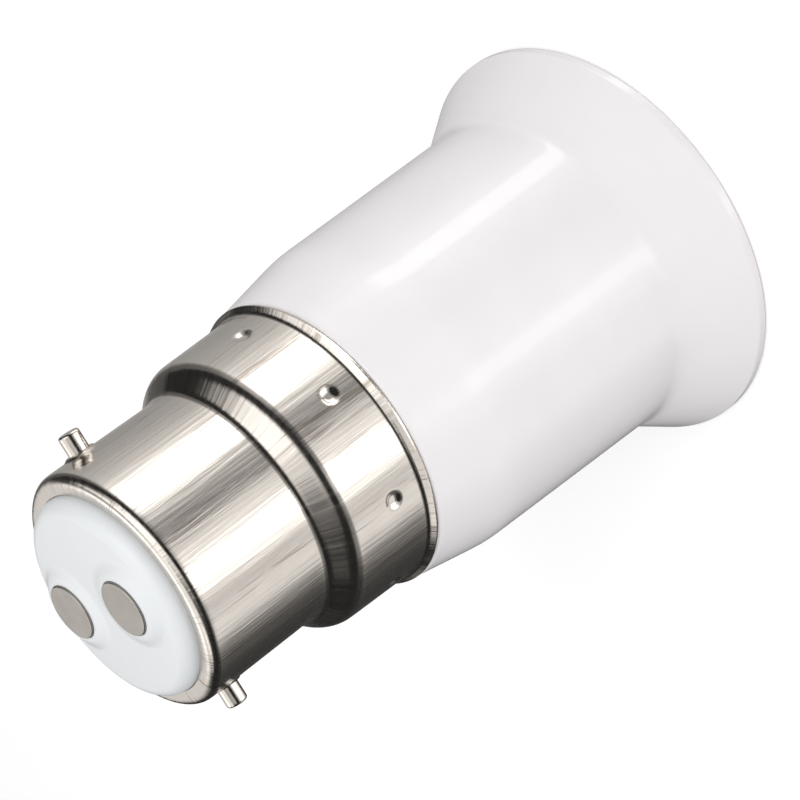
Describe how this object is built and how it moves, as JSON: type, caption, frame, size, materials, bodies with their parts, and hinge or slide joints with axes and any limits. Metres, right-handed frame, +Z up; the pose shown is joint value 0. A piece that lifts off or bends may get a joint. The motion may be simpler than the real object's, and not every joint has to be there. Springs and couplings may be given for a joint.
{
  "type": "lamp socket adapter",
  "caption": "Lamp socket adapter: a plated bayonet cap with side pins and flat end contacts, crimped to a flared white housing that holds a screw-thread lamp socket.",
  "frame": {"origin": "centre of the round mouth's rim, in the plane that the adapter stands on", "axes": "+Z up the adapter's axis from the mouth to the bayonet cap, +X along the right-hand bayonet pin"},
  "size_m": [0.0384, 0.0384, 0.0608],
  "materials": {
    "white_housing": "glossy white moulded plastic",
    "white_insulator": "white moulded plastic, slightly less glossy",
    "nickel_plate": "bright nickel plate with fine drawn lines",
    "contact_metal": "satin nickel contact faces",
    "screw_plate": "nickel-plated rolled shell",
    "rivet_metal": "plated rivets",
    "spring_bronze": "spring bronze strip",
    "tinned_tag": "tinned brass tags",
    "copper_core": "bare copper wire",
    "live_covering": "brown wire covering",
    "neutral_covering": "blue wire covering",
    "solder": "soft solder"
  },
  "bodies": {
    "adapter_body": {"housing": "white_housing", "bayonet_cap_shell": "nickel_plate", "bayonet_pin_right": "nickel_plate", "bayonet_pin_left": "nickel_plate", "cap_insulator": "white_insulator", "live_cap_contact": "contact_metal", "neutral_cap_contact": "contact_metal", "screw_shell": "screw_plate", "screw_shell_rivet_front": "rivet_metal", "screw_shell_rivet_rear": "rivet_metal", "centre_contact_rivet": "rivet_metal", "live_solder_tag": "tinned_tag", "neutral_solder_tag": "tinned_tag", "live_wire_core": "copper_core", "live_wire_insulation": "live_covering", "neutral_wire_core": "copper_core", "neutral_wire_insulation": "neutral_covering", "live_tag_solder": "solder", "neutral_tag_solder": "solder", "live_contact_solder": "solder", "neutral_contact_solder": "solder"},
    "contact_spring": {"centre_contact": "spring_bronze"}
  },
  "joints": [
    {"name": "centre_contact_flex", "type": "hinge", "parent": "adapter_body", "child": "contact_spring", "pos_m": [0.0036, 0, 0.0265], "axis": [0, 1, 0], "range_deg": [0, 18], "stiffness_Nm_per_rad": 0.12, "deforming": ["centre_contact"]}
  ]
}
